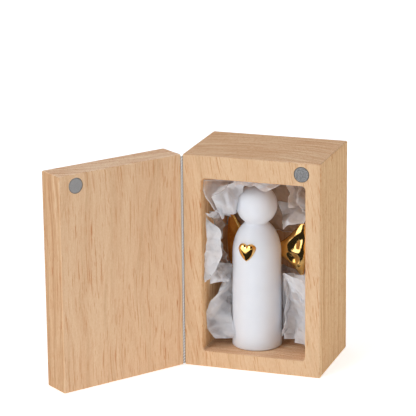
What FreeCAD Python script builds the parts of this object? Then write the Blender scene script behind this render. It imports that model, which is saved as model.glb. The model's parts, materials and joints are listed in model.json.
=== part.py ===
"""Small porcelain guardian angel standing in its hinged wooden keepsake case.

The case is a routed block with a slab lid on a let-in fabric tape hinge, held shut by two disc magnets. The
angel is a hollow slip casting with two gilded wings and a gilded heart luted on, bedded in tissue paper.
Millimetres, +Z up, -Y out of the case's mouth. The origin is the centre of the case's underside.
"""

import FreeCAD, Part
import math
import os

import Sketcher
from FreeCAD import Placement, Rotation, Vector

DIMENSIONS = [
    # the case and its lid
    ("case_width", 55.0),
    ("case_depth", 38.0),
    ("case_height", 85.0),
    ("lid_thickness", 12.0),
    ("closed_gap", 0.3),
    ("lid_open_angle", 126.0),
    ("edge_round", 0.6),
    # the routed pocket: the walls left round it, its depth, the cutter's radius and the eased mouth
    ("wall_hinge_side", 7.5),
    ("wall_free_side", 6.0),
    ("wall_floor", 6.5),
    ("wall_top", 9.0),
    ("pocket_depth", 32.0),
    ("pocket_corner", 1.6),
    ("mouth_chamfer", 0.3),
    # the hinge tape, one leaf on each side of the joint line
    ("tape_thickness", 0.4),
    ("tape_leaf", 9.0),
    # the magnets
    ("magnet_radius", 3.0),
    ("magnet_thickness", 3.0),
    ("magnet_rim", 0.25),
    ("magnet_proud", 0.1),
    ("magnet_from_hinge", 47.5),
    ("magnet_height", 80.5),
    ("bore_clearance", 0.05),
    # where the angel stands, and how far it is turned towards the lid
    ("angel_from_hinge", 25.3),
    ("angel_from_mouth", 14.4),
    ("angel_turn", 8.0),
    # the angel's casting, heights above its own foot
    ("foot_radius", 9.8),
    ("foot_round", 0.8),
    ("shoulder_radius", 9.45),
    ("shoulder_height", 37.5),
    ("shoulder_rise", 13.8),
    ("neck_round", 0.6),
    ("head_radius", 8.0),
    ("head_height", 56.7),
    ("casting_wall", 2.2),
    ("neck_bore", 2.0),
    ("vent_radius", 2.5),
    # the heart, its height up the casting and its relief
    ("heart_height", 40.4),
    ("heart_width", 7.4),
    ("heart_notch", 2.2),
    ("heart_shoulder", 1.2),
    ("heart_point", 4.1),
    ("heart_lobe", 2.2),
    ("heart_side", 7.0),
    ("heart_relief", 1.3),
    ("heart_edge", 0.4),
    # the wings, behind the casting's axis: their corners, then the radii of the three curved edges
    ("wing_back", 9.0),
    ("wing_thickness", 4.2),
    ("wing_root", 3.0),
    ("wing_root_low", 35.6),
    ("wing_root_high", 38.4),
    ("wing_tip_out", 15.7),
    ("wing_tip_height", 51.2),
    ("wing_corner_out", 15.3),
    ("wing_low", 25.9),
    ("wing_top_hollow", 29.0),
    ("wing_outer_bow", 50.0),
    ("wing_under_hollow", 22.0),
    ("wing_corner_round", 1.2),
    ("wing_edge", 1.3),
    # the bedding: how far it stays from the mouth, the walls and what it surrounds
    ("tissue_setback", 5.0),
    ("tissue_clearance", 0.6),
    ("tissue_backing", 3.0),
]

doc = FreeCAD.newDocument("boxed_angel")
sheet = doc.addObject("Spreadsheet::Sheet", "Dimensions")
for row, (alias, value) in enumerate(DIMENSIONS, start=1):
    sheet.set(f"A{row}", alias)
    sheet.set(f"B{row}", str(value))
    sheet.setAlias(f"B{row}", alias)
doc.recompute()


class Size:
    """A length worked out from the sheet: its value, and the same sum written as a formula of its cells."""

    def __init__(self, value, formula=None):
        self.value = float(value)
        self.formula = formula or f"({self.value})"

    def joined(self, sign, other, value):
        return Size(value, f"({self.formula} {sign} {other.formula})")

    def __add__(self, other):
        other = as_size(other)
        return self.joined("+", other, self.value + other.value)

    def __sub__(self, other):
        other = as_size(other)
        return self.joined("-", other, self.value - other.value)

    def __mul__(self, other):
        other = as_size(other)
        return self.joined("*", other, self.value * other.value)

    def __truediv__(self, other):
        other = as_size(other)
        return self.joined("/", other, self.value / other.value)

    def __neg__(self):
        return self * -1.0


def as_size(number):
    return number if isinstance(number, Size) else Size(number)


class Cells:
    """The sheet's cells as attributes, each one a Size."""


mm = Cells()
for alias, value in DIMENSIONS:
    setattr(mm, alias, Size(value, f"Dimensions.{alias}"))

SUBPARTS = []


def bind(target, prop, size):
    target.setExpression(prop, as_size(size).formula)


def subpart(name, kind="PartDesign::Body"):
    """A sub-part, whose label names its file and its node."""
    made = doc.addObject(kind, name)
    made.Label = name
    SUBPARTS.append(made)
    return made


def origin_plane(body, role):
    return next(f for f in body.Origin.OriginFeatures if f.Role == role)


# --- sketches ---------------------------------------------------------------------------------


def new_sketch(body, plane, name, away=0.0):
    """A sketch on one of the body's own origin planes, moved along that plane's normal by away."""
    made = body.newObject("Sketcher::SketchObject", name)
    made.AttachmentSupport = [(origin_plane(body, plane), "")]
    made.MapMode = "FlatFace"
    bind(made, "AttachmentOffset.Base.z", away)
    return made


def pin_vertex(sketch, line, end, point):
    """Binds one end of an edge to a point, measured from the sketch's origin."""
    for kind, size, letter in (("DistanceX", point[0], "x"), ("DistanceY", point[1], "y")):
        index = sketch.addConstraint(Sketcher.Constraint(kind, -1, 1, line, end, size.value))
        sketch.renameConstraint(index, f"{letter}{line}")
        bind(sketch, f"Constraints.{letter}{line}", size)


def arc_between(start, end, radius, side):
    """An arc that bows to the left of the way from start to end (side 1) or to its right (side -1)."""
    way = end - start
    height = radius - math.sqrt(radius**2 - (way.Length / 2) ** 2)
    across = Vector(-way.y, way.x, 0).normalize()
    crown = start + way * 0.5 + across * (side * height)
    return Part.Arc(end, crown, start) if side > 0 else Part.Arc(start, crown, end)


def outline(sketch, points, bows=None):
    """A closed outline through points, each a pair of sizes.

    bows says for the edge after each point whether it is straight (None) or an arc (its radius and side).
    A sketch draws every arc anticlockwise, so one that bows to the left has its ends the other way round.
    """
    points = [(as_size(x), as_size(y)) for x, y in points]
    bows = bows or [None] * len(points)
    corners = [Vector(x.value, y.value, 0) for x, y in points]
    first, last = [], []
    for line, (corner, bow) in enumerate(zip(corners, bows)):
        following = corners[(line + 1) % len(corners)]
        if bow:
            sketch.addGeometry(arc_between(corner, following, bow[0].value, bow[1]))
        else:
            sketch.addGeometry(Part.LineSegment(corner, following))
        turned = bool(bow) and bow[1] > 0
        first.append(2 if turned else 1)
        last.append(1 if turned else 2)
    for line in range(len(corners)):
        following = (line + 1) % len(corners)
        joint = ("Coincident", line, last[line], following, first[following])
        sketch.addConstraint(Sketcher.Constraint(*joint))
    for line, point in enumerate(points):
        pin_vertex(sketch, line, first[line], point)
    for line, bow in enumerate(bows):
        if bow:
            index = sketch.addConstraint(Sketcher.Constraint("Radius", line, bow[0].value))
            sketch.renameConstraint(index, f"radius{line}")
            bind(sketch, f"Constraints.radius{line}", bow[0])


def rectangle(sketch, left, right, low, high):
    outline(sketch, [(left, low), (right, low), (right, high), (left, high)])


def circle(sketch, x, y, radius):
    x, y, radius = (as_size(x), as_size(y), as_size(radius))
    sketch.addGeometry(Part.Circle(Vector(x.value, y.value, 0), Vector(0, 0, 1), radius.value))
    limits = [
        ("x", Sketcher.Constraint("DistanceX", -1, 1, 0, 3, x.value), x),
        ("y", Sketcher.Constraint("DistanceY", -1, 1, 0, 3, y.value), y),
        ("radius", Sketcher.Constraint("Radius", 0, radius.value), radius),
    ]
    for name, constraint, size in limits:
        index = sketch.addConstraint(constraint)
        sketch.renameConstraint(index, name)
        bind(sketch, f"Constraints.{name}", size)


# --- features ---------------------------------------------------------------------------------


def pad(body, sketch, name, length, reverse=False):
    made = body.newObject("PartDesign::Pad", name)
    made.Profile = sketch
    made.Reversed = reverse
    bind(made, "Length", length)
    doc.recompute()
    return made


def pocket(body, sketch, name, depth, reverse=False):
    """A pocket, which has to take material away."""
    before = body.Shape.Volume
    made = body.newObject("PartDesign::Pocket", name)
    made.Profile = sketch
    made.Reversed = reverse
    bind(made, "Length", depth)
    doc.recompute()
    if body.Shape.Volume >= before:
        raise SystemExit(f"{body.Label}: {name} cuts nothing")
    return made


def edges_where(feature, wanted):
    """The names of a feature's edges for which wanted(bounding box) holds."""
    return [f"Edge{k}" for k, e in enumerate(feature.Shape.Edges, start=1) if wanted(e.BoundBox)]


def dress(body, kind, name, feature, edges, prop, size):
    """A fillet or a chamfer on some edges of a feature."""
    made = body.newObject(kind, name)
    made.Base = (feature, edges)
    bind(made, prop, size)
    doc.recompute()
    return made


def primitive(body, kind, name, height, **sizes):
    """A solid of revolution about the body's Z axis, added or taken away at a height."""
    made = body.newObject(f"PartDesign::{kind}", name)
    made.AttachmentSupport = [(origin_plane(body, "XY_Plane"), "")]
    made.MapMode = "FlatFace"
    bind(made, "AttachmentOffset.Base.z", height)
    for prop, size in sizes.items():
        bind(made, prop, size)
    doc.recompute()
    return made


# --- the case and its lid ---------------------------------------------------------------------

LEFT = -mm.case_width / 2
RIGHT = mm.case_width / 2
FRONT = -mm.case_depth / 2
BACK = mm.case_depth / 2
LID_INNER = FRONT - mm.closed_gap
LID_OUTER = LID_INNER - mm.lid_thickness
POCKET_LEFT = LEFT + mm.wall_hinge_side
POCKET_RIGHT = RIGHT - mm.wall_free_side
POCKET_LOW = mm.wall_floor
POCKET_HIGH = mm.case_height - mm.wall_top
POCKET_BACK = FRONT + mm.pocket_depth
MAGNET_X = LEFT + mm.magnet_from_hinge

NEAR = 1e-4  # how close an edge's box has to be to a plane to lie in it


def slab(body, front, back):
    """A full-height board with its twelve edges eased."""
    footprint = new_sketch(body, "XY_Plane", f"{body.Label}_footprint")
    rectangle(footprint, LEFT, RIGHT, front, back)
    block = pad(body, footprint, f"{body.Label}_block", mm.case_height)
    every_edge = edges_where(block, lambda box: True)
    easing = f"{body.Label}_easing"
    return dress(body, "PartDesign::Fillet", easing, block, every_edge, "Radius", mm.edge_round)


def tape_rebate(body, near, far):
    """The shallow step, let into the hinge side, that one leaf of the tape is glued in."""
    face = new_sketch(body, "YZ_Plane", f"{body.Label}_rebate_outline", LEFT)
    rectangle(face, near, far, -mm.case_height, mm.case_height * 2)
    return pocket(body, face, f"{body.Label}_rebate", mm.tape_thickness, reverse=True)


def magnet_bore(body, mouth, inwards):
    """A blind bore for a magnet. The mouth is at y = mouth, and inwards says which way the wood lies."""
    ring = new_sketch(body, "XZ_Plane", f"{body.Label}_bore_outline", -mouth)
    circle(ring, MAGNET_X, mm.magnet_height, mm.magnet_radius + mm.bore_clearance)
    return pocket(body, ring, f"{body.Label}_bore", mm.magnet_thickness, reverse=inwards < 0)


def build_block():
    block = subpart("case_block")
    slab(block, FRONT, BACK)
    opening = new_sketch(block, "XZ_Plane", "pocket_outline", -FRONT)
    rectangle(opening, POCKET_LEFT, POCKET_RIGHT, POCKET_LOW, POCKET_HIGH)
    hollow = pocket(block, opening, "pocket", mm.pocket_depth)
    mouth = FRONT.value

    def pocket_corner(box):
        inside = POCKET_LEFT.value - NEAR < box.XMin and box.XMax < POCKET_RIGHT.value + NEAR
        return inside and box.YLength > mm.pocket_depth.value - NEAR and box.ZMin > POCKET_LOW.value - NEAR

    routed = dress(
        block, "PartDesign::Fillet", "cutter_radius", hollow, edges_where(hollow, pocket_corner),
        "Radius", mm.pocket_corner,
    )

    def pocket_mouth(box):
        inside = POCKET_LEFT.value - NEAR < box.XMin and box.XMax < POCKET_RIGHT.value + NEAR
        low_enough = POCKET_LOW.value - NEAR < box.ZMin and box.ZMax < POCKET_HIGH.value + NEAR
        return inside and low_enough and abs(box.YMax - mouth) < NEAR

    dress(
        block, "PartDesign::Chamfer", "eased_mouth", routed, edges_where(routed, pocket_mouth),
        "Size", mm.mouth_chamfer,
    )
    tape_rebate(block, FRONT - mm.closed_gap / 2, FRONT + mm.tape_leaf)
    magnet_bore(block, FRONT, 1)
    return block


def hinge_pivot():
    """Where the tape folds: in the plane of the hinge side, half way across the closed gap."""
    return Vector(LEFT.value, (FRONT - mm.closed_gap / 2).value, 0)


def swing_open(piece):
    """Turns a piece that was built in the closed position to where the lid stands open."""
    turn = Rotation(Vector(0, 0, 1), -mm.lid_open_angle.value)
    piece.Placement = Placement(Vector(0, 0, 0), turn, hinge_pivot())
    return piece


def build_lid():
    lid = subpart("case_lid")
    slab(lid, LID_OUTER, LID_INNER)
    tape_rebate(lid, LID_INNER - mm.tape_leaf, LID_INNER + mm.closed_gap / 2)
    magnet_bore(lid, LID_INNER, -1)
    return swing_open(lid)


def build_tape_leaf(name, near, far):
    """One leaf of the hinge tape, flush in its rebate and a little short of the case's ends."""
    leaf = subpart(name)
    face = new_sketch(leaf, "XY_Plane", f"{name}_outline", mm.edge_round)
    rectangle(face, LEFT, LEFT + mm.tape_thickness, near, far)
    pad(leaf, face, f"{name}_cloth", mm.case_height - mm.edge_round * 2)
    return leaf


def build_magnet(name, face_y, outwards):
    """A nickel-plated disc with a small bevel, standing a hair proud of the wood."""
    disc = subpart(name)
    ring = new_sketch(disc, "XZ_Plane", f"{name}_outline", -face_y)
    circle(ring, MAGNET_X, mm.magnet_height, mm.magnet_radius)
    body = pad(disc, ring, f"{name}_disc", mm.magnet_thickness, reverse=outwards > 0)
    rims = edges_where(body, lambda box: box.XLength > mm.magnet_radius.value)
    dress(disc, "PartDesign::Chamfer", f"{name}_bevel", body, rims, "Size", mm.magnet_rim)
    return disc


# --- the angel --------------------------------------------------------------------------------


def stand_angel(piece):
    """Moves a piece built about the angel's own axis to where the angel stands."""
    across = LEFT + mm.angel_from_hinge
    inwards = FRONT + mm.angel_from_mouth
    foot = Vector(across.value, inwards.value, POCKET_LOW.value)
    piece.Placement = Placement(foot, Rotation(Vector(0, 0, 1), -mm.angel_turn.value))
    return piece


def build_casting():
    """The hollow figure: a slightly tapered body, egg-shaped shoulders, a ball head and a vent."""
    casting = subpart("angel_casting")
    primitive(
        casting, "AdditiveCone", "figure_body", 0.0,
        Radius1=mm.foot_radius, Radius2=mm.shoulder_radius, Height=mm.shoulder_height,
    )
    primitive(
        casting, "AdditiveEllipsoid", "shoulders", mm.shoulder_height,
        Radius1=mm.shoulder_rise, Radius2=mm.shoulder_radius, Radius3=mm.shoulder_radius,
    )
    head = primitive(casting, "AdditiveSphere", "head", mm.head_height, Radius=mm.head_radius)

    def foot(box):
        return box.XLength > 1 and box.ZMax < NEAR

    def neck(box):
        level = box.ZLength < NEAR and box.ZMin > mm.shoulder_height.value + 1
        return box.XLength > 1 and level

    footed = dress(
        casting, "PartDesign::Fillet", "foot_easing", head, edges_where(head, foot),
        "Radius", mm.foot_round,
    )
    dress(
        casting, "PartDesign::Fillet", "neck_easing", footed, edges_where(footed, neck),
        "Radius", mm.neck_round,
    )
    wall = mm.casting_wall
    primitive(
        casting, "SubtractiveCone", "inside_body", wall,
        Radius1=mm.foot_radius - wall, Radius2=mm.shoulder_radius - wall, Height=mm.shoulder_height - wall,
    )
    primitive(
        casting, "SubtractiveEllipsoid", "inside_shoulders", mm.shoulder_height,
        Radius1=mm.shoulder_rise - wall * 1.5, Radius2=mm.shoulder_radius - wall,
        Radius3=mm.shoulder_radius - wall,
    )
    primitive(casting, "SubtractiveSphere", "inside_head", mm.head_height, Radius=mm.head_radius - wall)
    primitive(
        casting, "SubtractiveCylinder", "inside_neck", mm.shoulder_height,
        Radius=mm.neck_bore, Height=mm.head_height - mm.shoulder_height,
    )
    primitive(casting, "SubtractiveCylinder", "vent", -wall, Radius=mm.vent_radius, Height=wall * 3)
    return stand_angel(casting)


def carve_casting(body):
    """Takes away the space that the figure fills, so that the piece sits on the glaze."""
    primitive(
        body, "SubtractiveCone", f"{body.Label}_seat", 0.0,
        Radius1=mm.foot_radius, Radius2=mm.shoulder_radius, Height=mm.shoulder_height,
    )
    primitive(
        body, "SubtractiveEllipsoid", f"{body.Label}_shoulder_seat", mm.shoulder_height,
        Radius1=mm.shoulder_rise, Radius2=mm.shoulder_radius, Radius3=mm.shoulder_radius,
    )


def build_heart():
    """The heart in relief on the breast: two round lobes that run down to a point."""
    heart = subpart("angel_heart")
    half = mm.heart_width / 2
    middle = mm.heart_height
    corners = [
        (0.0, middle + mm.heart_notch),
        (half, middle + mm.heart_shoulder),
        (0.0, middle - mm.heart_point),
        (-half, middle + mm.heart_shoulder),
    ]
    bows = [(mm.heart_lobe, 1), (mm.heart_side, 1), (mm.heart_side, 1), (mm.heart_lobe, 1)]
    front = mm.shoulder_radius + mm.heart_relief
    shape = new_sketch(heart, "XZ_Plane", "heart_outline", front)
    outline(shape, corners, bows)
    body = pad(heart, shape, "heart_relief", mm.heart_relief * 3, reverse=True)
    rim = edges_where(body, lambda box: box.YMax < -front.value + NEAR)
    dress(heart, "PartDesign::Fillet", "heart_rim", body, rim, "Radius", mm.heart_edge)
    carve_casting(heart)
    return stand_angel(heart)


def build_wing(name, side):
    """One of the two pillow-shaped wings, a fat plate with rounded edges, luted to the figure's back."""
    wing = subpart(name)
    corners = [
        (mm.wing_root * side, mm.wing_root_high),
        (mm.wing_tip_out * side, mm.wing_tip_height),
        (mm.wing_corner_out * side, mm.wing_low),
        (mm.wing_root * side, mm.wing_root_low),
    ]
    bows = [(mm.wing_top_hollow, -side), (mm.wing_outer_bow, side), (mm.wing_under_hollow, -side), None]
    shape = new_sketch(wing, "XZ_Plane", f"{name}_outline", -(mm.wing_back + mm.wing_thickness / 2))
    outline(shape, corners, bows)
    plate = pad(wing, shape, f"{name}_plate", mm.wing_thickness)

    def outer_corner(box):
        through = box.YLength > mm.wing_thickness.value - NEAR
        return through and box.XLength < NEAR and abs(box.XMin) > mm.wing_tip_out.value - NEAR

    rounded = dress(
        wing, "PartDesign::Fillet", f"{name}_corners", plate, edges_where(plate, outer_corner),
        "Radius", mm.wing_corner_round,
    )
    rims = edges_where(rounded, lambda box: box.YLength < NEAR)
    dress(wing, "PartDesign::Fillet", f"{name}_edge", rounded, rims, "Radius", mm.wing_edge)
    carve_casting(wing)
    return stand_angel(wing)


# --- the bedding ------------------------------------------------------------------------------


def build_wad(name, left, right, front, back, low, high):
    """A crumpled wad of the tissue, as the plain block of space that it fills."""
    wad = subpart(name, "Part::Box")
    bind(wad, "Placement.Base.x", left)
    bind(wad, "Placement.Base.y", front)
    bind(wad, "Placement.Base.z", low)
    bind(wad, "Length", right - left)
    bind(wad, "Width", back - front)
    bind(wad, "Height", high - low)
    return wad


def build_tissue():
    """Six wads round the angel, all clear of the way it comes out of the mouth."""
    gap = mm.tissue_clearance
    axis = LEFT + mm.angel_from_hinge
    west = POCKET_LEFT + gap
    east = POCKET_RIGHT - gap
    front = FRONT + mm.tissue_setback
    back = POCKET_BACK - gap
    lining = back - mm.tissue_backing
    floor = POCKET_LOW + gap
    under_wings = POCKET_LOW + mm.wing_low - gap
    over_wings = POCKET_LOW + mm.wing_tip_height + gap
    over_head = POCKET_LOW + mm.head_height + mm.head_radius + gap
    ceiling = POCKET_HIGH - gap
    body_side = mm.foot_radius + gap
    head_side = mm.head_radius + gap
    build_wad("tissue_lower_left", west, axis - body_side, front, lining - gap, floor, under_wings)
    build_wad("tissue_lower_right", axis + body_side, east, front, lining - gap, floor, under_wings)
    build_wad("tissue_upper_left", west, axis - head_side, front, lining - gap, over_wings, ceiling)
    build_wad("tissue_upper_right", axis + head_side, east, front, lining - gap, over_wings, ceiling)
    over_left = axis - mm.head_radius
    over_right = axis + mm.head_radius
    build_wad("tissue_top", over_left, over_right, front, lining - gap, over_head, ceiling)
    build_wad("tissue_back", west, east, lining, back, floor, ceiling)


def build_all():
    build_block()
    build_lid()
    build_tape_leaf("hinge_tape_case_leaf", FRONT, FRONT + mm.tape_leaf)
    swing_open(build_tape_leaf("hinge_tape_lid_leaf", LID_INNER - mm.tape_leaf, LID_INNER))
    build_magnet("case_magnet", FRONT - mm.magnet_proud, 1)
    swing_open(build_magnet("lid_magnet", LID_INNER + mm.magnet_proud, -1))
    build_casting()
    build_heart()
    build_wing("angel_wing_left", -1)
    build_wing("angel_wing_right", 1)
    build_tissue()


def check():
    """Every object computed, and every sub-part one or more whole solids."""
    doc.recompute()
    failed = [o.Name for o in doc.Objects if "Invalid" in o.State or "Error" in o.State]
    if failed:
        raise SystemExit(f"not computed: {failed}")
    for part in SUBPARTS:
        if part.Shape.isNull() or not part.Shape.isValid() or not part.Shape.Solids:
            raise SystemExit(f"{part.Label} is not a valid solid")


def export():
    os.makedirs("parts", exist_ok=True)
    for part in SUBPARTS:
        part.Shape.exportStep(f"parts/{part.Label}.step")
        box = part.Shape.BoundBox
        size = f"{box.XLength:.1f} x {box.YLength:.1f} x {box.ZLength:.1f}"
        print(f"{part.Label}: {size} mm, {part.Shape.Volume / 1000:.2f} cm3")


build_all()
check()
export()
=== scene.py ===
"""The looks of the boxed porcelain angel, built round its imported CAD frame.

Lengths are in metres, in the frame's own axes, unless a comment says millimetres.
"""

import json
import math
import random

import bmesh
import bpy
from mathutils import Matrix, Vector, noise


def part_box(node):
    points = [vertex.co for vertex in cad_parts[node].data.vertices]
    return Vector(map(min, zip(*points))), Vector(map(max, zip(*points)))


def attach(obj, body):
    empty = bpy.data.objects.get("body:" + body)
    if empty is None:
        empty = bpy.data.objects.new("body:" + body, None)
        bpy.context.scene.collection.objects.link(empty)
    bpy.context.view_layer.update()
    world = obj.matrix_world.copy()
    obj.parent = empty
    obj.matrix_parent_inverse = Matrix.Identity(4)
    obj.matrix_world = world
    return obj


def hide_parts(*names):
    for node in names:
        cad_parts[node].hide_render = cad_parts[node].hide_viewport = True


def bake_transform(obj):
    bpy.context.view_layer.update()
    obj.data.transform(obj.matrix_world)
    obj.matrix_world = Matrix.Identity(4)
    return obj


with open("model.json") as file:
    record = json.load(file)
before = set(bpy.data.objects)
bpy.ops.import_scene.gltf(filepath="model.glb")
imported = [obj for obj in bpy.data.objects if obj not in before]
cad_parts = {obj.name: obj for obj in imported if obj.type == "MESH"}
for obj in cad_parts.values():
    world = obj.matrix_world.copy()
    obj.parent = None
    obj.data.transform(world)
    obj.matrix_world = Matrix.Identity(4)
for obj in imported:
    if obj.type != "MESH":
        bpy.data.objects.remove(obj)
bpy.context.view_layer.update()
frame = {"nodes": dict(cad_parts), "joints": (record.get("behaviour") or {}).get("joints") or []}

MM = 0.001
JOINTS = {joint["name"]: joint for joint in frame["joints"]}
PIVOT = Vector(JOINTS["lid_hinge"]["pos_m"])
LID_OPEN = math.radians(-JOINTS["lid_hinge"]["range_deg"][0])

# The angel's axis and how far it is turned, from where its casting and its heart are.
CASTING_LOW, CASTING_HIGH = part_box("angel_casting")
HEART_LOW, HEART_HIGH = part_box("angel_heart")
AXIS = (CASTING_LOW + CASTING_HIGH) / 2
BODY_RADIUS = (CASTING_HIGH.x - CASTING_LOW.x) / 2
HEAD_RADIUS = 8.0 * MM
HEART_WAY = (HEART_LOW + HEART_HIGH) / 2 - AXIS
TURN = math.atan2(HEART_WAY.x, -HEART_WAY.y)

# The pocket, which the wads of tissue fill but for a small clearance, with its mouth in the block's front.
WADS = [name for name in frame["nodes"] if name.startswith("tissue_")]
CLEARANCE = 0.6 * MM
POCKET_LOW = Vector([min(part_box(wad)[0][k] for wad in WADS) - CLEARANCE for k in range(3)])
POCKET_HIGH = Vector([max(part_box(wad)[1][k] for wad in WADS) + CLEARANCE for k in range(3)])
POCKET_LOW.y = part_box("case_block")[0].y


# --- camera, floor and light ---

CAMERA_PLACE = Vector((251.8, -804.5, 303.2)) * MM
CAMERA_AZIMUTH = math.radians(18.9)
CAMERA_ELEVATION = math.radians(16.04)
CAMERA_ROLL = math.radians(-0.6)
CAMERA_LENS = 195.75
CAMERA_SENSOR = 36
CAMERA_NEAR = 0.01


def add_camera():
    """The camera stands to the right of the open mouth and a little above it, looking down at the angel."""
    back = Vector((
        math.sin(CAMERA_AZIMUTH) * math.cos(CAMERA_ELEVATION),
        -math.cos(CAMERA_AZIMUTH) * math.cos(CAMERA_ELEVATION),
        math.sin(CAMERA_ELEVATION),
    ))
    level = Vector((0, 0, 1)).cross(back).normalized()
    upright = back.cross(level)
    right = level * math.cos(CAMERA_ROLL) + upright * math.sin(CAMERA_ROLL)
    up = upright * math.cos(CAMERA_ROLL) - level * math.sin(CAMERA_ROLL)
    data = bpy.data.cameras.new("camera")
    data.lens = CAMERA_LENS
    data.sensor_width = CAMERA_SENSOR
    data.clip_start = CAMERA_NEAR
    made = bpy.data.objects.new("camera", data)
    bpy.context.scene.collection.objects.link(made)
    made.matrix_world = Matrix.Translation(CAMERA_PLACE) @ Matrix((right, up, back)).transposed().to_4x4()
    bpy.context.scene.camera = made


def add_softbox(name, place, target, size, power, tint=(1, 1, 1)):
    """A rectangular area light, turned to face a target."""
    data = bpy.data.lights.new(name, "AREA")
    data.shape = "RECTANGLE"
    data.size, data.size_y = size
    data.energy = power
    data.color = tint
    made = bpy.data.objects.new(name, data)
    bpy.context.scene.collection.objects.link(made)
    made.location = place
    made.rotation_euler = (Vector(target) - Vector(place)).to_track_quat("-Z", "Y").to_euler()


def add_lights():
    """A big key from the left, a weak fill and a glint from the right, and a soft light from above."""
    case = Vector((0, 0, 0.04))
    add_softbox("key", (-1.25, -2.1, 1.9), case, (1.4, 1.4), 40.0, tint=(0.95, 0.975, 1.0))
    add_softbox("fill", (2.4, -0.7, 0.7), case, (1.2, 1.2), 4.7, tint=(0.97, 0.98, 1.0))
    add_softbox("glint", (0.45, -2.4, 0.65), case, (0.5, 0.4), 2.5)
    add_softbox("top", (0.0, 0.3, 2.4), (0, 0, 0.05), (1.5, 1.5), 22.0)


WORLD_FILL = 0.17
# What polish reflects: the direction of the lit side, the cosine where it starts to glow, and its strength.
LIT_WAY = (-0.46, -0.87, 0.14)
LIT_START = 0.89
LIT_FADE = 0.08
LIT_STRENGTH = 2.8
DARK_ROOM = 0.03


def add_world():
    """White to the camera, a soft fill on what is matte, and a dark room with one lit side in polish."""
    world = bpy.data.worlds.new("studio")
    world.use_nodes = True
    nodes, links = world.node_tree.nodes, world.node_tree.links
    nodes.clear()

    def background(colour, strength):
        made = nodes.new("ShaderNodeBackground")
        made.inputs["Color"].default_value = (*colour, 1)
        made.inputs["Strength"].default_value = strength
        return made.outputs[0]

    def choose(ray, otherwise, shown):
        mix = nodes.new("ShaderNodeMixShader")
        links.new(path.outputs[ray], mix.inputs[0])
        links.new(otherwise, mix.inputs[1])
        links.new(shown, mix.inputs[2])
        return mix.outputs[0]

    def lit_side():
        """The wide soft reflection of a studio light."""
        toward = nodes.new("ShaderNodeVectorMath")
        toward.operation = "DOT_PRODUCT"
        links.new(nodes.new("ShaderNodeTexCoord").outputs["Generated"], toward.inputs[0])
        toward.inputs[1].default_value = Vector(LIT_WAY).normalized()
        level = nodes.new("ShaderNodeMapRange")
        level.interpolation_type = "SMOOTHSTEP"
        links.new(toward.outputs["Value"], level.inputs["Value"])
        level.inputs["From Min"].default_value = LIT_START
        level.inputs["From Max"].default_value = LIT_START + LIT_FADE
        level.inputs["To Min"].default_value = DARK_ROOM
        level.inputs["To Max"].default_value = LIT_STRENGTH
        made = nodes.new("ShaderNodeBackground")
        links.new(level.outputs["Result"], made.inputs["Strength"])
        return made.outputs[0]

    path = nodes.new("ShaderNodeLightPath")
    fill = background((0.90, 0.94, 1.0), WORLD_FILL)
    room = lit_side()
    white = background((1, 1, 1), 1.0)
    out = nodes.new("ShaderNodeOutputWorld")
    links.new(choose("Is Camera Ray", choose("Is Glossy Ray", fill, room), white), out.inputs[0])
    bpy.context.scene.world = world
    bpy.context.scene.view_settings.view_transform = "Standard"


FLOOR_HALF = 3.0
FLOOR_GLOW = 0.52


def add_floor():
    """A wide sheet of white paper, glowing just enough to stay white in the picture."""
    corners = [(-FLOOR_HALF, -FLOOR_HALF, 0), (FLOOR_HALF, -FLOOR_HALF, 0)]
    corners += [(FLOOR_HALF, FLOOR_HALF, 0), (-FLOOR_HALF, FLOOR_HALF, 0)]
    data = bpy.data.meshes.new("floor")
    data.from_pydata(corners, [], [(0, 1, 2, 3)])
    floor = bpy.data.objects.new("floor", data)
    bpy.context.scene.collection.objects.link(floor)
    graph = Graph("floor_paper", roughness=0.9)
    tooth = graph.noise(graph.point(), scale=0.4, detail=2)
    graph.feed(graph.shader, "Base Color", graph.ramp(tooth, [(0.3, grey(0.93)), (0.7, grey(0.95))]))
    graph.set("Emission Color", (1, 1, 1, 1))
    graph.set("Emission Strength", FLOOR_GLOW)
    data.materials.append(graph.material)
    floor.visible_glossy = False


# --- node graphs ---


def grey(tone):
    return (tone,) * 3


def opaque(colour):
    """A colour with its alpha, where it is a plain one and not a socket."""
    return (*colour, 1) if isinstance(colour, tuple) else colour


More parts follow.
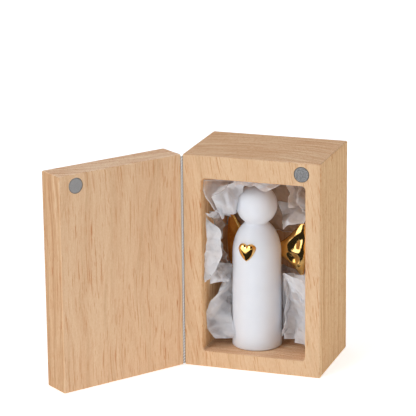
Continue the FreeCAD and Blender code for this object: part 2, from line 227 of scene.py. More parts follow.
class Graph:
    """A material's node tree, with short words for the nodes it is built of."""

    def __init__(self, name, roughness=0.5, metallic=0.0):
        self.material = bpy.data.materials.new(name)
        self.material.use_nodes = True
        self.tree = self.material.node_tree
        self.tree.nodes.clear()
        self.shader = self.node("ShaderNodeBsdfPrincipled", Roughness=roughness, Metallic=metallic)
        self.output = self.node("ShaderNodeOutputMaterial", Surface=self.shader.outputs[0])

    def feed(self, node, name, value):
        socket = node.inputs[name]
        if isinstance(value, bpy.types.NodeSocket):
            self.tree.links.new(value, socket)
        else:
            socket.default_value = value

    def set(self, name, value):
        self.shader.inputs[name].default_value = value

    def node(self, kind, settings=None, **inputs):
        made = self.tree.nodes.new(kind)
        for name, value in (settings or {}).items():
            setattr(made, name, value)
        for name, value in inputs.items():
            self.feed(made, name.replace("_", " "), value)
        return made

    def point(self, turn=0.0, about=(0, 0, 0)):
        """The surface point in millimetres, turned about an upright line."""
        place = self.node("ShaderNodeTexCoord").outputs["Object"]
        if turn:
            place = self.rotate(place, turn, about)
        made = self.node("ShaderNodeVectorMath", {"operation": "MULTIPLY"})
        self.feed(made, 0, place)
        made.inputs[1].default_value = (1 / MM,) * 3
        return made.outputs[0]

    def rotate(self, vector, turn, about=(0, 0, 0)):
        settings = {"rotation_type": "Z_AXIS"}
        made = self.node("ShaderNodeVectorRotate", settings, Vector=vector, Center=about, Angle=turn)
        return made.outputs[0]

    def stretch(self, vector, scale, shift=(0, 0, 0)):
        made = self.node("ShaderNodeMapping", Vector=vector, Scale=scale, Location=shift)
        return made.outputs[0]

    def math(self, operation, a, b=0.0):
        made = self.node("ShaderNodeMath", {"operation": operation})
        self.feed(made, 0, a)
        self.feed(made, 1, b)
        return made.outputs[0]

    def vector_math(self, operation, a, b):
        made = self.node("ShaderNodeVectorMath", {"operation": operation})
        self.feed(made, 0, a)
        self.feed(made, 1, b)
        return made.outputs

    def axes(self, vector):
        return self.node("ShaderNodeSeparateXYZ", Vector=vector).outputs

    def join(self, x, y, z):
        return self.node("ShaderNodeCombineXYZ", X=x, Y=y, Z=z).outputs[0]

    def noise(self, vector, scale=1.0, detail=2.0, rough=0.5):
        made = self.node(
            "ShaderNodeTexNoise", Vector=vector, Scale=scale, Detail=detail, Roughness=rough,
        )
        return made.outputs["Fac"]

    def ramp(self, value, stops):
        made = self.node("ShaderNodeValToRGB", Fac=value)
        ramp = made.color_ramp
        for k, (place, colour) in enumerate(stops):
            stop = ramp.elements[k] if k < 2 else ramp.elements.new(place)
            stop.position = place
            stop.color = opaque(colour)
        return made.outputs[0]

    def level(self, value, low, high):
        """0 below low, 1 above high, smooth between. With low above high it runs the other way."""
        made = self.node("ShaderNodeMapRange", {"interpolation_type": "SMOOTHSTEP"}, Value=value)
        self.feed(made, "From Min", low)
        self.feed(made, "From Max", high)
        return made.outputs[0]

    def blend(self, share, a, b, mode="MIX"):
        made = self.node("ShaderNodeMix", {"data_type": "RGBA", "blend_type": mode})
        self.feed(made, 0, share)
        self.feed(made, 6, opaque(a))
        self.feed(made, 7, opaque(b))
        return made.outputs[2]

    def bump(self, height, depth):
        """A bump of that depth in metres, fed to the shader."""
        made = self.node("ShaderNodeBump", Height=height, Distance=depth, Strength=1.0)
        self.feed(self.shader, "Normal", made.outputs[0])


# --- materials ---

WOOD_LIGHT = (0.80, 0.525, 0.305)
WOOD_DARK = (0.66, 0.385, 0.195)
WOOD_VESSEL = (0.60, 0.23, 0.075)
GRAIN_BEND = 6.0  # mm
RING_PITCH = 3.4  # mm
RING_WANDER = 12.0  # mm
RING_DEPTH = 0.6
# How strongly the layers, the fibre and the speckle change the tone, and what cut faces and end grain add.
LAYER_DEPTH = 0.42
LAYER_ON_CUT = 1.4
FIBRE_DEPTH = 0.22
SPECKLE_DEPTH = 0.36
SPECKLE_ON_END = 0.5
# Long and short vessel lines: how the noise is stretched, where a line starts in it, and how dark it is.
VESSELS = (((2.9, 2.9, 0.055), 0.64, 1.0), ((3.6, 3.6, 0.16), 0.65, 0.75))
VESSEL_FADE = 0.06
VEIN_DEPTH = 0.4


def rings(graph, x, y, grain, pith, seed):
    """How far each point is from the tree's middle, and how dark it is with the latewood of its ring."""
    wander = graph.noise(graph.stretch(grain, (0.022, 0.022, 0.01), (seed, 0, seed)), detail=2)
    across = graph.math("POWER", graph.math("SUBTRACT", x, pith[0]), 2.0)
    inwards = graph.math("POWER", graph.math("SUBTRACT", y, pith[1]), 2.0)
    from_pith = graph.math("SQRT", graph.math("ADD", across, inwards))
    from_pith = graph.math("ADD", from_pith, graph.math("MULTIPLY", wander, RING_WANDER))
    ring = graph.math("FRACT", graph.math("DIVIDE", from_pith, RING_PITCH))
    return from_pith, graph.level(ring, 0.45, 0.97)


def cut_faces(graph, turn):
    """1 on the board's sawn edges, which look along X, and 1 on its end grain."""
    normal = graph.node("ShaderNodeTexCoord").outputs["Normal"]
    sideways, _, up = graph.axes(graph.rotate(normal, turn))
    on_edge = graph.level(graph.math("ABSOLUTE", sideways), 0.6, 0.9)
    on_end = graph.level(graph.math("ABSOLUTE", up), 0.6, 0.9)
    return on_edge, on_end


def wood_tone(graph, grain, layer, fibre, on_edge, on_end):
    """The wood's lighter and darker layers, fibre and speckle, as a warm tint."""
    layers = graph.noise(layer, detail=4, rough=0.7)
    speckle = graph.noise(graph.stretch(grain, (2.6, 2.6, 1.1)), detail=3, rough=0.65)
    on_cut = graph.math("MAXIMUM", on_edge, on_end)
    layer_depth = graph.math("ADD", graph.math("MULTIPLY", on_cut, LAYER_ON_CUT), LAYER_DEPTH)
    speckle_depth = graph.math("ADD", graph.math("MULTIPLY", on_end, SPECKLE_ON_END), SPECKLE_DEPTH)
    tone = 1.0
    for part, depth in ((layers, layer_depth), (fibre, FIBRE_DEPTH), (speckle, speckle_depth)):
        change = graph.math("MULTIPLY", graph.math("SUBTRACT", part, 0.5), depth)
        tone = graph.math("ADD", change, tone)
    return graph.join(graph.math("POWER", tone, 0.5), tone, graph.math("POWER", tone, 1.4))


def vessel_lines(graph, grain, streaks, seed):
    """Short red-brown lines along the grain, thicker in some streaks than in others."""
    vessel = 0.0
    for size, start, depth in VESSELS:
        dash = graph.noise(graph.stretch(grain, size, (seed, 0, seed)), detail=1, rough=0.4)
        dark = graph.level(dash, start, start + VESSEL_FADE)
        mark = graph.math("MULTIPLY", dark, graph.level(streaks, 0.3, 0.5))
        vessel = graph.math("MAXIMUM", graph.math("MULTIPLY", mark, depth), vessel)
    return vessel


def wood(name, turn, pith, lean, seed, face, edge, end, vein=None):
    """Rubberwood, with its grain along Z. All its lengths are in mm.

    turn brings the board back to where it is cut, pith is the tree's middle in plan, and lean tilts the
    grain. face, edge and end tint what looks along Y, along X and along the grain; these tints are partly
    the look of each cut of the grain and partly painted light and shade, each side made lighter or darker
    for how the lamps light it. vein is where in X a darker line runs.
    """
    graph = Graph(name, roughness=0.55)
    board = graph.point(turn=turn, about=tuple(PIVOT))
    x, y, z = graph.axes(board)
    bend = graph.noise(graph.stretch(board, (0.05, 0.05, 0.025), (0, 0, seed)), detail=1)
    shift = graph.math("ADD", graph.math("MULTIPLY", z, lean), graph.math("MULTIPLY", bend, GRAIN_BEND))
    x = graph.math("ADD", x, shift)
    grain = graph.join(x, y, z)

    from_pith, latewood = rings(graph, x, y, grain, pith, seed)
    streaks = graph.noise(graph.stretch(grain, (0.9, 0.9, 0.03), (0, seed, 0)), detail=3, rough=0.6)
    band = graph.math("MULTIPLY", latewood, graph.level(streaks, 0.25, 0.75))
    colour = graph.blend(graph.math("MULTIPLY", band, RING_DEPTH), WOOD_LIGHT, WOOD_DARK)

    on_edge, on_end = cut_faces(graph, turn)
    layer = graph.join(
        graph.math("MULTIPLY", x, 0.05),
        graph.math("MULTIPLY", from_pith, 1.1),
        graph.math("MULTIPLY", z, 0.015),
    )
    fibre = graph.noise(graph.stretch(grain, (3.4, 3.4, 0.25)), detail=2)
    warm = wood_tone(graph, grain, layer, fibre, on_edge, on_end)
    colour = graph.blend(1.0, colour, warm, "MULTIPLY")

    vessel = vessel_lines(graph, grain, streaks, seed)
    if vein is not None:
        beside = graph.math("ABSOLUTE", graph.math("SUBTRACT", x, vein))
        line = graph.math("MULTIPLY", graph.level(beside, 0.5, 0.1), graph.level(streaks, 0.1, 0.7))
        vessel = graph.math("MAXIMUM", graph.math("MULTIPLY", line, VEIN_DEPTH), vessel)
    colour = graph.blend(vessel, colour, WOOD_VESSEL)

    # The face, edge and end tints: partly the look of each cut of the grain, partly painted light and
    # shade, each side lighter or darker for how the lamps light it.
    tint = graph.blend(on_end, graph.blend(on_edge, face, edge), end)
    graph.feed(graph.shader, "Base Color", graph.blend(1.0, colour, tint, "MULTIPLY"))
    graph.set("Specular IOR Level", 0.25)
    pores = graph.math("MULTIPLY", vessel, 0.15)
    graph.bump(graph.math("SUBTRACT", graph.math("MULTIPLY", fibre, 0.5), pores), 0.03 * MM)
    return graph.material


def porcelain():
    """Unglazed white bisque: matte, very slightly grainy, with the faintest cool and warm clouding."""
    graph = Graph("bisque", roughness=0.5)
    spot = graph.point()
    cloud = graph.noise(spot, scale=0.12, detail=2)
    white = graph.ramp(cloud, [(0.3, (0.785, 0.812, 0.87)), (0.7, (0.82, 0.847, 0.90))])
    graph.feed(graph.shader, "Base Color", white)
    graph.set("Subsurface Weight", 0.15)
    graph.set("Subsurface Radius", (1.0, 0.9, 0.8))
    graph.set("Subsurface Scale", 0.6 * MM)
    graph.set("Specular IOR Level", 0.35)
    grain = graph.noise(spot, scale=7.0, detail=3)
    graph.feed(graph.shader, "Roughness", graph.level(grain, -0.6, 1.5))
    graph.bump(grain, 0.01 * MM)
    return graph.material


def gold():
    """Fired bright gold: a mirror with faint brush marks where the lustre was laid on."""
    graph = Graph("gold_lustre", roughness=0.1, metallic=1.0)
    spot = graph.point()
    cloud = graph.noise(graph.stretch(spot, (0.5, 0.5, 0.25)), detail=3)
    lustre = graph.ramp(cloud, [(0.3, (1.0, 0.57, 0.15)), (0.7, (1.0, 0.69, 0.28))])
    graph.feed(graph.shader, "Base Color", lustre)
    marks = graph.noise(graph.stretch(spot, (1.6, 1.6, 0.5)), detail=3)
    graph.feed(graph.shader, "Roughness", graph.ramp(marks, [(0.35, grey(0.05)), (0.75, grey(0.16))]))
    graph.bump(graph.noise(spot, scale=0.6, detail=2), 0.06 * MM)
    return graph.material


def nickel(name, node, base, mottle):
    """Satin nickel plate, scuffed, darker in the scuffs by the share mottle, and with painted shade round
    the disc's rim.
    """
    graph = Graph(name, roughness=0.4, metallic=0.4)
    spot = graph.point()
    low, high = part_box(node)
    radius = (high.z - low.z) / 2 / MM
    scuff = graph.noise(spot, scale=2.6, detail=5, rough=0.7)
    dark = tuple(c * (1 - mottle) for c in base)
    plate = graph.ramp(scuff, [(0.36, dark), (0.64, base)])
    away = graph.vector_math("DISTANCE", spot, (low + high) / 2 / MM)["Value"]
    # Past the disc's radius lies only its rim, which gets painted shade: a dark ring.
    rim = graph.level(away, radius, radius * 1.09)
    colour = graph.blend(graph.math("MULTIPLY", rim, 0.6), plate, grey(0.10))
    graph.feed(graph.shader, "Base Color", colour)
    graph.feed(graph.shader, "Roughness", graph.ramp(scuff, [(0.3, grey(0.5)), (0.7, grey(0.32))]))
    graph.bump(scuff, 0.02 * MM)
    return graph.material


RIB_PITCH = 1.2  # mm
THREAD_PITCH = 0.45  # mm


def tape_cloth():
    """Grey-white cotton tape in a fine twill, by a UV map in millimetres across the fold and along it."""
    graph = Graph("tape_cloth", roughness=0.85)
    across, along, _ = graph.axes(graph.node("ShaderNodeUVMap", {"uv_map": "cloth"}).outputs[0])
    aslant = graph.math("ADD", across, along)
    rib = graph.math("SINE", graph.math("MULTIPLY", aslant, 2 * math.pi / RIB_PITCH))
    thread = graph.math("SINE", graph.math("MULTIPLY", along, 2 * math.pi / THREAD_PITCH))
    weave = graph.math("ADD", graph.math("MULTIPLY", rib, 0.3), graph.math("MULTIPLY", thread, 0.2))
    weave = graph.math("ADD", weave, 0.5)
    graph.feed(graph.shader, "Base Color", graph.ramp(weave, [(0.3, grey(0.30)), (0.7, grey(0.92))]))
    graph.bump(weave, 0.08 * MM)
    return graph.material


# The facets of crumpled paper: how many to a millimetre, and how much each size of them counts.
FACETS = ((0.2, 1.0), (0.45, 0.25))


def facets(graph, spot):
    """The height of a crumpled surface of flat facets, each tilted its own way."""
    wander = graph.node("ShaderNodeTexNoise", Vector=spot, Scale=0.3).outputs["Color"]
    warped = graph.vector_math("ADD", spot, wander)[0]
    height = 0.0
    for scale, weight in FACETS:
        facet = graph.node("ShaderNodeTexVoronoi", Vector=warped, Scale=scale)
        away = graph.vector_math("SUBTRACT", warped, facet.outputs["Position"])[0]
        tilt = graph.vector_math("SUBTRACT", facet.outputs["Color"], grey(0.5))[0]
        slope = graph.vector_math("DOT_PRODUCT", away, tilt)["Value"]
        height = graph.math("ADD", graph.math("MULTIPLY", slope, weight), height)
    return height


def tissue_paper(name, clear):
    """Thin white tissue with light coming through. clear is how see-through its middle is."""
    graph = Graph(name, roughness=0.7)
    spot = graph.point()
    cloud = graph.noise(spot, scale=0.35, detail=4)
    white = graph.ramp(cloud, [(0.3, (0.91, 0.93, 0.98)), (0.7, (0.96, 0.975, 1.0))])
    graph.feed(graph.shader, "Base Color", white)
    graph.set("Specular IOR Level", 0.2)
    through = graph.node("ShaderNodeBsdfTranslucent", Color=white)
    gap = graph.node("ShaderNodeBsdfTransparent")
    lit = graph.node("ShaderNodeMixShader", Fac=0.35)
    graph.tree.links.new(graph.shader.outputs[0], lit.inputs[1])
    graph.tree.links.new(through.outputs[0], lit.inputs[2])
    inner = graph.node("ShaderNodeAttribute", {"attribute_name": "inner"}).outputs["Fac"]
    cloudy = graph.math("ADD", graph.math("MULTIPLY", cloud, 0.5), 0.75)
    see_through = graph.math("MULTIPLY", graph.math("MULTIPLY", cloudy, clear), inner)
    thin = graph.node("ShaderNodeMixShader", Fac=see_through)
    graph.tree.links.new(lit.outputs[0], thin.inputs[1])
    graph.tree.links.new(gap.outputs[0], thin.inputs[2])
    graph.feed(graph.output, "Surface", thin.outputs[0])
    graph.bump(facets(graph, spot), 0.9 * MM)
    return graph.material


def paint(node, material):
    """Gives a CAD node its finished material."""
    slots = frame["nodes"][node].material_slots
    if not slots:
        frame["nodes"][node].data.materials.append(material)
    for slot in slots:
        slot.material = material


def finish_cad_nodes():
    """The block, the lid, the magnets and the casting are the CAD nodes themselves."""
    # Each board's face, edge and end tints hold painted light and shade as well as the look of each cut of
    # the grain.
    block = wood(
        "wood_block", 0.0, (12.0, -95.0), 0.12, 3.0,
        face=(0.93, 0.94, 0.96), edge=(1.12, 1.075, 0.95), end=(1.0, 0.98, 1.02),
    )
    lid = wood(
        "wood_lid", LID_OPEN, (-20.0, -120.0), 0.0, 11.0,
        face=(1.05, 1.06, 1.10), edge=(0.87, 0.82, 0.78), end=(1.10, 1.15, 1.32),
        vein=PIVOT.x / MM + 6.0,
    )
    paint("case_block", block)
    paint("case_lid", lid)
    paint("case_magnet", nickel("nickel_case", "case_magnet", (0.42, 0.42, 0.425), 0.6))
    paint("lid_magnet", nickel("nickel_lid", "lid_magnet", (0.56, 0.55, 0.545), 0.15))
    paint("angel_casting", porcelain())


# --- the gilded pieces ---


def angel_frame():
    """From the angel's own frame, whose -Y is its front, to the row frame."""
    return Matrix.Translation((AXIS.x, AXIS.y, CASTING_LOW.z)) @ Matrix.Rotation(TURN, 4, "Z")


def fine_copy(node, grain):
    """A finely meshed copy of a CAD node, in the angel's own frame."""
    source = frame["nodes"][node].data.copy()
    rough = bpy.data.objects.new(f"{node}_rough", source)
    bpy.context.scene.collection.objects.link(rough)
    modifier = rough.modifiers.new("remesh", "REMESH")
    modifier.mode = "VOXEL"
    modifier.voxel_size = grain
    fine = bpy.data.meshes.new_from_object(rough.evaluated_get(bpy.context.evaluated_depsgraph_get()))
    bpy.data.objects.remove(rough)
    fine.transform(angel_frame().inverted())
    return fine


def smooth(mesh, times):
    work = bmesh.new()
    work.from_mesh(mesh)
    for _ in range(times):
        bmesh.ops.smooth_vert(
            work, verts=work.verts, factor=0.5, use_axis_x=True, use_axis_y=True, use_axis_z=True,
        )
    work.to_mesh(mesh)
    work.free()


def add_piece(name, mesh, material, body=None):
    """Makes a finished piece of a mesh in the row frame, riding a body when one is given."""
    mesh.name = name
    mesh.materials.clear()
    mesh.materials.append(material)
    mesh.shade_smooth()
    made = bpy.data.objects.new(name, mesh)
    bpy.context.scene.collection.objects.link(made)
    if body:
        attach(made, body)
    return made


def rim_of(mesh, middle):
    """Where the plane y = middle cuts a mesh: the cut's corners in the plane."""
    work = bmesh.new()
    work.from_mesh(mesh)
    geometry = work.verts[:] + work.edges[:] + work.faces[:]
    cut = bmesh.ops.bisect_plane(work, geom=geometry, plane_co=(0, middle, 0), plane_no=(0, 1, 0))
    rim = [Vector((v.co.x, v.co.z)) for v in cut["geom_cut"] if isinstance(v, bmesh.types.BMVert)]
    work.free()
    return rim


PILLOW_LEAST = 0.25


def pillow(vertex, rim, edge):
    """How full a pillow is at a vertex, from PILLOW_LEAST at its rim to 1, and how far in that is."""
    flat = Vector((vertex.co.x, vertex.co.z))
    inside = min(min((flat - point).length for point in rim) / edge, 1.0)
    return PILLOW_LEAST + (1 - PILLOW_LEAST) * math.sqrt(1 - (1 - inside) ** 2), inside


WING_GRAIN = 0.45 * MM
WING_EDGE = 2.8 * MM
WING_ROOT = 0.7  # how far out from the axis the wing is luted, as a share of the casting's radius
WING_TAPER = 0.65  # how much of its thickness the wing loses out to its tip
WING_CROWN = 0.5  # how much it loses up to its top and down to its foot
WING_SMOOTHING = 8
# The soft dents in the wing: how many to a millimetre, and their depth as a share of the thickness.
DENT_RUN = 0.23
DENT_DEPTH = 0.7


def build_wing(name, shine):
    """A plump wing, thickest along its middle and thin at its rim, that stays on the casting's back."""
    mesh = fine_copy(name, WING_GRAIN)
    low = Vector([min(v.co[k] for v in mesh.vertices) for k in range(3)])
    high = Vector([max(v.co[k] for v in mesh.vertices) for k in range(3)])
    middle = (low + high) / 2
    half = (high - low) / 2
    tip = max(-low.x, high.x)
    root = BODY_RADIUS * WING_ROOT
    rim = rim_of(mesh, middle.y)
    for vertex in mesh.vertices:
        swell, inside = pillow(vertex, rim, WING_EDGE)
        out = max(abs(vertex.co.x) - root, 0.0) / (tip - root)
        swell *= 1 - WING_TAPER * out**2
        swell *= 1 - WING_CROWN * ((vertex.co.z - middle.z) / half.z) ** 2
        if abs(vertex.co.x) < root:
            swell = 1.0
        dent = noise.noise(vertex.co / MM * DENT_RUN) * DENT_DEPTH * inside
        vertex.co.y = middle.y + (vertex.co.y - middle.y) * (swell - abs(dent))
    smooth(mesh, WING_SMOOTHING)
    mesh.transform(angel_frame())
    made = add_piece(f"{name}_gilt", mesh, shine, body="angel")
    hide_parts(name)


HEART_GRAIN = 0.16 * MM
HEART_SEAT = 0.15 * MM
HEART_EDGE = 2.6 * MM
HEART_BODY = 0.94  # the casting's radius at the heart, as a share of its foot's
HEART_SMOOTHING = 5


def build_heart(shine):
    """The heart stands out of the round body like a small cushion, thin at its rim."""
    mesh = fine_copy("angel_heart", HEART_GRAIN)
    front = min(v.co.y for v in mesh.vertices)
    back = max(v.co.y for v in mesh.vertices)
    rim = rim_of(mesh, (front * 2 + back) / 3)
    seat = HEART_BODY * BODY_RADIUS
    for vertex in mesh.vertices:
        swell, _ = pillow(vertex, rim, HEART_EDGE)
        round_body = Vector((vertex.co.x, vertex.co.y))
        relief = max(round_body.length - seat, 0.0)
        if relief:
            round_body *= (seat + relief * swell) / round_body.length
            vertex.co.x, vertex.co.y = round_body
    smooth(mesh, HEART_SMOOTHING)
    mesh.transform(Matrix.Translation((0, HEART_SEAT, 0)))
    mesh.transform(angel_frame())
    made = add_piece("angel_heart_gilt", mesh, shine, body="angel")
    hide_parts("angel_heart")


# --- the hinge tape ---

TAPE_STEP = 0.45 * MM
FOLD_STEPS = 6
FOLD_REACH = 1.6  # how far the fold bulges from the joint line, in half thicknesses of the tape


def tape_path(leaf, half):
    """The tape's middle in plan: along the block, round the joint line and along the open lid."""
    swing = Matrix.Rotation(-LID_OPEN, 3, "Z")
    count = int(leaf / TAPE_STEP)
    on_block = [PIVOT + Vector((half, leaf * (1 - k / count), 0)) for k in range(count)]
    on_lid = [PIVOT + swing @ Vector((half, -leaf * (k + 1) / count, 0)) for k in range(count)]
    fold = []
    for k in range(FOLD_STEPS + 1):
        turn = Matrix.Rotation(-LID_OPEN * k / FOLD_STEPS, 3, "Z")
        fold.append(PIVOT + turn @ Vector((half * FOLD_REACH, 0, 0)))
    return on_block + fold + on_lid


def build_tape():
    """One strip of cloth from the block to the lid, in the middle of the two CAD leaves."""
    low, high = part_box("hinge_tape_case_leaf")
    half = (high.x - low.x) / 2
    leaf = high.y - low.y
    path = tape_path(leaf, half)
    rows = int((high.z - low.z) / TAPE_STEP / 2)
    verts, marks, run = [], [], 0.0
    for k, point in enumerate(path):
        run += (point - path[k - 1]).length if k else 0.0
        for j in range(rows + 1):
            height = low.z + (high.z - low.z) * j / rows
            verts.append((point.x, point.y, height))
            marks.append((run / MM, height / MM))
    mesh = grid_mesh("hinge_tape", verts, len(path), rows + 1)
    cloth = mesh.uv_layers.new(name="cloth")
    for corner in mesh.loops:
        cloth.data[corner.index].uv = marks[corner.vertex_index]
    tape = add_piece("hinge_tape", mesh, tape_cloth())
    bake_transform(tape)
    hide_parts("hinge_tape_case_leaf", "hinge_tape_lid_leaf")


# --- the tissue paper ---


def grid_mesh(name, verts, columns, rows):
    faces = []
    for i in range(columns - 1):
        for j in range(rows - 1):
            first = i * rows + j
            faces.append((first, first + 1, first + rows + 1, first + rows))
    mesh = bpy.data.meshes.new(name)
    mesh.from_pydata([tuple(v) for v in verts], [], faces)
    return mesh


def in_pocket(across, inwards, up):
    """A point of the pocket by shares of its width, its depth from the mouth and its height."""
    size = POCKET_HIGH - POCKET_LOW
    return POCKET_LOW + Vector((across * size.x, inwards * size.y, up * size.z))


def zigzag(turns):
    """A straight-sided wave between -1 and 1: sharp folds with flat paper between them."""
    return 4 * abs(turns - math.floor(turns + 0.5)) - 1


PAPER_GAP = 0.3 * MM  # how far the paper stays from the angel and from the pocket's walls
PAPER_STEP = 0.42 * MM
# The paper's creases: the millimetres from fold to fold, and how steep the paper stands between them.
CREASE_RUNS = (17.0, 12.0, 8.5, 6.0, 4.0)
CREASE_SLOPE = 0.22
PAPER_SEED = 7  # without one, noise_vector starts from the clock and the paper changes from run to run
WANDER_SCALE = 0.11
WANDER_REACH = 1.2  # mm
TORN_EDGE = 0.6  # mm


def keep_clear(point):
    """Moves a point of the paper out of the angel and into the pocket."""
    height = point.z - CASTING_LOW.z
    top = CASTING_HIGH.z - CASTING_LOW.z
    head = top - HEAD_RADIUS
    reach = BODY_RADIUS
    if height >= head - HEAD_RADIUS:
        reach = math.sqrt(max(HEAD_RADIUS**2 - (height - head) ** 2, 0.0))
    away = Vector((point.x - AXIS.x, point.y - AXIS.y))
    least = reach + PAPER_GAP if height < top else 0.0
    if away.length < least:
        away = away.normalized() * least
        point = Vector((AXIS.x + away.x, AXIS.y + away.y, point.z))
    for k in range(3):
        point[k] = min(max(point[k], POCKET_LOW[k] + PAPER_GAP), POCKET_HIGH[k] - PAPER_GAP)
    return point


def build_paper(
    name, paper, top, foot, bow=(0, 0, 0), left=(0, 0, 0), right=(0, 0, 0),
    pleats=0, bunch=1.0, depth=1.0, crumple=1.0, seed=1,
):
    """A crumpled sheet between its two top corners and its two foot corners, in shares of the pocket.

    bow, left and right push out its middle and its two sides, in mm. pleats is how many folds run down it,
    depth mm deep, and bunch below 1 makes those on its left narrower. crumple scales the creases, whose
    directions are drawn from seed.
    """
    chance = random.Random(seed)
    a, b, c, d = (in_pocket(*corner) for corner in (*top, *foot))
    width = max((b - a).length, (d - c).length)
    length = max((c - a).length, (d - b).length)
    columns = max(int(width / PAPER_STEP), 8)
    rows = max(int(length / PAPER_STEP), 8)
    creases = [(run, chance.uniform(0, math.pi), chance.random()) for run in CREASE_RUNS]
    normal = (b - a + d - c).cross(c - a + d - b).normalized()
    verts = []
    for i in range(columns + 1):
        u = i / columns
        for j in range(rows + 1):
            v = j / rows
            arch = 4 * v * (1 - v)
            push = Vector(bow) * (4 * u * (1 - u) * arch)
            push += (Vector(left) * (1 - u) + Vector(right) * u) * arch
            spot = a.lerp(b, u).lerp(c.lerp(d, u), v) + push * MM
            wander = noise.noise_vector(spot / MM * WANDER_SCALE + Vector((seed, seed, 0)))
            x = u * width / MM + wander.x * WANDER_REACH
            y = v * length / MM + wander.y * WANDER_REACH
            rise = 0.0
            if pleats:
                rise = depth * (1 + wander.y) * zigzag(pleats * u**bunch + 0.25 * wander.z)
            for run, way, phase in creases:
                fold = zigzag((x * math.cos(way) + y * math.sin(way)) / run + phase)
                rise += crumple * run * CREASE_SLOPE * fold
            torn = Vector((wander.x, 0, wander.y)) * TORN_EDGE
            verts.append(keep_clear(spot + torn * MM + normal * rise * MM))
    mesh = grid_mesh(name, verts, columns + 1, rows + 1)
    inner = mesh.attributes.new("inner", "FLOAT", "POINT")
    for k in range(len(verts)):
        i, j = divmod(k, rows + 1)
        inner.data[k].value = min(1.0, min(i, j, columns - i, rows - j) / 2)
    made = add_piece(name, mesh, paper, body="case")
    return made


def build_left_tissue(plain, sheer):
    """From the top left corner down to the wad beside the angel's foot."""
    curl = build_paper(
        "tissue_left_curl", sheer,
        top=((0.03, 0.06, 0.98), (0.22, 0.34, 0.98)), foot=((0.12, 0.14, 0.80), (0.24, 0.40, 0.80)),
        left=(-3, -1, 0), bow=(0, -1.5, 0), crumple=0.4, seed=3,
    )
    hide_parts("tissue_upper_left")
    build_paper(
        "tissue_left_fold", plain,
        top=((0.06, 0.12, 0.89), (0.36, 0.22, 0.985)), foot=((0.15, 0.20, 0.745), (0.29, 0.44, 0.78)),
        bow=(0, -2, 0), pleats=2, depth=0.8, crumple=0.4, seed=5,
    )
    build_paper(
        "tissue_left_band", plain,
        top=((0.02, 0.05, 0.81), (0.17, 0.26, 0.83)), foot=((0.04, 0.34, 0.72), (0.15, 0.56, 0.72)),
        crumple=0.4, seed=8,
    )
    build_paper(
        "tissue_left_flap", plain,
        top=((0.02, 0.10, 0.79), (0.045, 0.13, 0.74)), foot=((0.01, 0.05, 0.40), (0.05, 0.11, 0.41)),
        right=(5.5, -1, 3), pleats=1, depth=0.4, crumple=0.3, seed=13,
    )
    build_paper(
        "tissue_left_sheer", sheer,
        top=((0.02, 0.26, 0.78), (0.10, 0.54, 0.76)), foot=((0.02, 0.26, 0.44), (0.10, 0.52, 0.44)),
        crumple=0.6, seed=21,
    )
    build_paper(
        "tissue_left_hem", plain,
        top=((0.05, 0.14, 0.50), (0.18, 0.46, 0.46)), foot=((0.03, 0.08, 0.385), (0.22, 0.40, 0.37)),
        pleats=1.5, depth=0.8, crumple=0.5, seed=34,
    )
    wad = build_paper(
        "tissue_lower_wad", plain,
        top=((0.13, 0.36, 0.375), (0.27, 0.50, 0.38)), foot=((0.10, 0.14, 0.05), (0.28, 0.30, 0.05)),
        left=(-5, -3, -1), bow=(0, -1.5, 0), crumple=0.6, seed=55,
    )
    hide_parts("tissue_lower_left")


def build_top_tissue(plain):
    """The folds over the head, with a point that hangs in front of it."""
    over = build_paper(
        "tissue_over_head", plain,
        top=((0.24, 0.30, 0.99), (0.62, 0.34, 0.99)), foot=((0.30, 0.10, 0.95), (0.50, 0.14, 0.975)),
        pleats=2, depth=0.5, crumple=0.3, seed=89,
    )
    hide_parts("tissue_top")
    build_paper(
        "tissue_head_point", plain,
        top=((0.42, 0.12, 0.99), (0.74, 0.32, 0.99)), foot=((0.58, 0.15, 0.93), (0.70, 0.30, 0.965)),
        crumple=0.35, seed=144,
    )


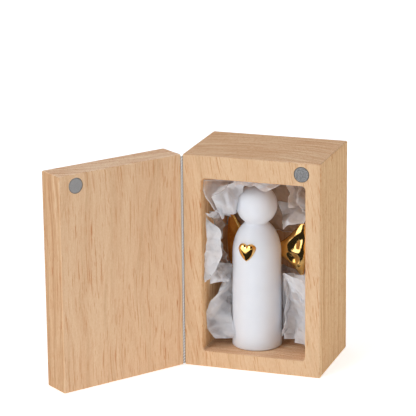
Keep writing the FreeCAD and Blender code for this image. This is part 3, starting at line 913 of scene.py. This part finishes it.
def build_right_tissue(plain, sheer):
    """From the top right corner, over the wing's tip, down to the pleated fall below the wing."""
    strip = build_paper(
        "tissue_right_strip", plain,
        top=((0.71, 0.44, 0.98), (0.79, 0.80, 0.98)), foot=((0.72, 0.46, 0.81), (0.80, 0.84, 0.78)),
        pleats=1, depth=0.4, crumple=0.3, seed=233,
    )
    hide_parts("tissue_upper_right")
    build_paper(
        "tissue_right_curtain", sheer,
        top=((0.78, 0.50, 0.98), (0.97, 0.82, 0.98)), foot=((0.84, 0.52, 0.78), (0.98, 0.82, 0.74)),
        pleats=1, depth=0.6, crumple=0.4, seed=377,
    )
    build_paper(
        "tissue_over_wing", plain,
        top=((0.58, 0.70, 0.81), (0.92, 0.74, 0.81)), foot=((0.66, 0.56, 0.66), (0.93, 0.50, 0.745)),
        crumple=0.4, seed=610,
    )
    fall = build_paper(
        "tissue_right_fall", plain,
        top=((0.53, 0.74, 0.385), (0.985, 0.30, 0.45)), foot=((0.53, 0.72, 0.05), (0.985, 0.24, 0.04)),
        pleats=5, bunch=0.7, depth=1.2, crumple=0.35, seed=987,
    )
    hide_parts("tissue_lower_right")
    build_paper(
        "tissue_right_pleat", plain,
        top=((0.725, 0.34, 0.42), (0.74, 0.66, 0.385)), foot=((0.72, 0.28, 0.08), (0.735, 0.62, 0.08)),
        left=(0.6, 0, 0), crumple=0.15, seed=1200,
    )
    build_paper(
        "tissue_right_flap", plain,
        top=((0.68, 0.40, 0.435), (0.98, 0.24, 0.43)), foot=((0.84, 0.26, 0.32), (0.98, 0.20, 0.28)),
        crumple=0.25, seed=1597,
    )


def build_lining(plain, sheer):
    """What lies against the pocket's back, behind the angel."""
    low = build_paper(
        "tissue_back_low", plain,
        top=((0.02, 0.92, 0.40), (0.98, 0.92, 0.40)), foot=((0.02, 0.92, 0.02), (0.98, 0.92, 0.02)),
        crumple=0.5, seed=2584,
    )
    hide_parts("tissue_back")
    build_paper(
        "tissue_back_high", sheer,
        top=((0.02, 0.91, 0.98), (0.98, 0.91, 0.98)), foot=((0.02, 0.93, 0.62), (0.98, 0.93, 0.58)),
        crumple=0.5, seed=4181,
    )


add_camera()
add_world()
add_floor()
add_lights()
finish_cad_nodes()
lustre = gold()
build_heart(lustre)
for wing in ("angel_wing_left", "angel_wing_right"):
    build_wing(wing, lustre)
build_tape()
noise.seed_set(PAPER_SEED)
plain_tissue = tissue_paper("tissue_plain", 0.06)
sheer_tissue = tissue_paper("tissue_sheer", 0.65)
build_left_tissue(plain_tissue, sheer_tissue)
build_top_tissue(plain_tissue)
build_right_tissue(plain_tissue, sheer_tissue)
build_lining(plain_tissue, sheer_tissue)
